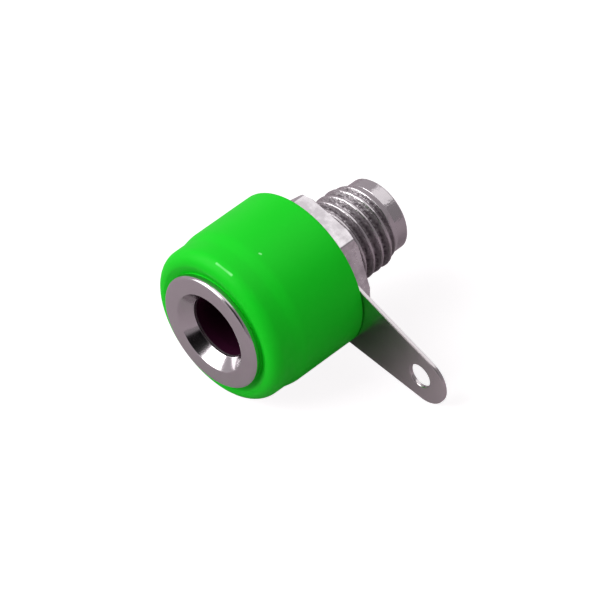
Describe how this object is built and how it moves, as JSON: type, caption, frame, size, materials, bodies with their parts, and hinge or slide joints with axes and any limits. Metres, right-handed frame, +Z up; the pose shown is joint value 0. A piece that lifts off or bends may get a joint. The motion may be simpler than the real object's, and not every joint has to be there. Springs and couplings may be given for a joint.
{
  "type": "binding post",
  "caption": "Insulated panel socket for a 4 mm plug: flanged barrel with a countersunk through bore, moulded head, threaded shank, solder tag and hexagon nut.",
  "frame": {"origin": "on the socket's axis, at the back face of the insulating head, which seats on the panel", "axes": "+Y along the axis towards the end of the shank, so the mouth looks towards -Y; +Z up as the post lies on its side"},
  "size_m": [0.0175, 0.0151, 0.011],
  "materials": {
    "plated_brass": "bright nickel plate on turned brass",
    "green_plastic": "semi-gloss moulding",
    "tinned_sheet": "satin tin plate on punched sheet",
    "plated_nut": "nickel plate on milled brass"
  },
  "bodies": {
    "socket": {"socket_barrel": "plated_brass", "insulating_head": "green_plastic"},
    "tag": {"solder_tag": "tinned_sheet"},
    "nut": {"hex_nut": "plated_nut"}
  },
  "joints": [
    {"name": "tag_swivel", "type": "hinge", "parent": "socket", "child": "tag", "pos_m": [0, 0, 0], "axis": [0, 1, 0], "continuous": true},
    {"name": "nut_travel", "type": "slide", "parent": "socket", "child": "nut", "axis": [0, 1, 0], "range_m": [0, 0.004]}
  ]
}
